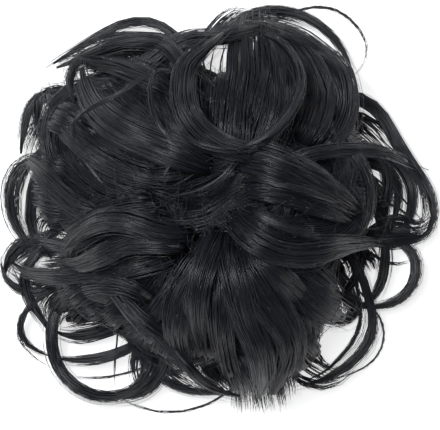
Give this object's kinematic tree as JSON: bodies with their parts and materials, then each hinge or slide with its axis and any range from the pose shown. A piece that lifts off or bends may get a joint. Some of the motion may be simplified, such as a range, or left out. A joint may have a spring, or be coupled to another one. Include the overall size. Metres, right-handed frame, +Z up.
{
  "type": "top knot hairpiece",
  "caption": "Round bun of curled false hair on an elastic loop, worn over a top knot; hollow beneath for the wearer's own bun.",
  "frame": {"origin": "middle of the bounding box, on the surface that the elastic band lies on", "axes": "+Z up, out of the crown; +Y is the side with the large open curl, at the top when seen from above; +X to the right"},
  "size_m": [0.1502, 0.1376, 0.0629],
  "materials": {
    "hair": "glossy synthetic hair, near black",
    "woven_elastic": "matt woven elastic, black"
  },
  "bodies": {
    "root": {"elastic_band": "woven_elastic", "rim_locks": "hair", "middle_locks": "hair", "crown_locks": "hair"}
  },
  "joints": []
}
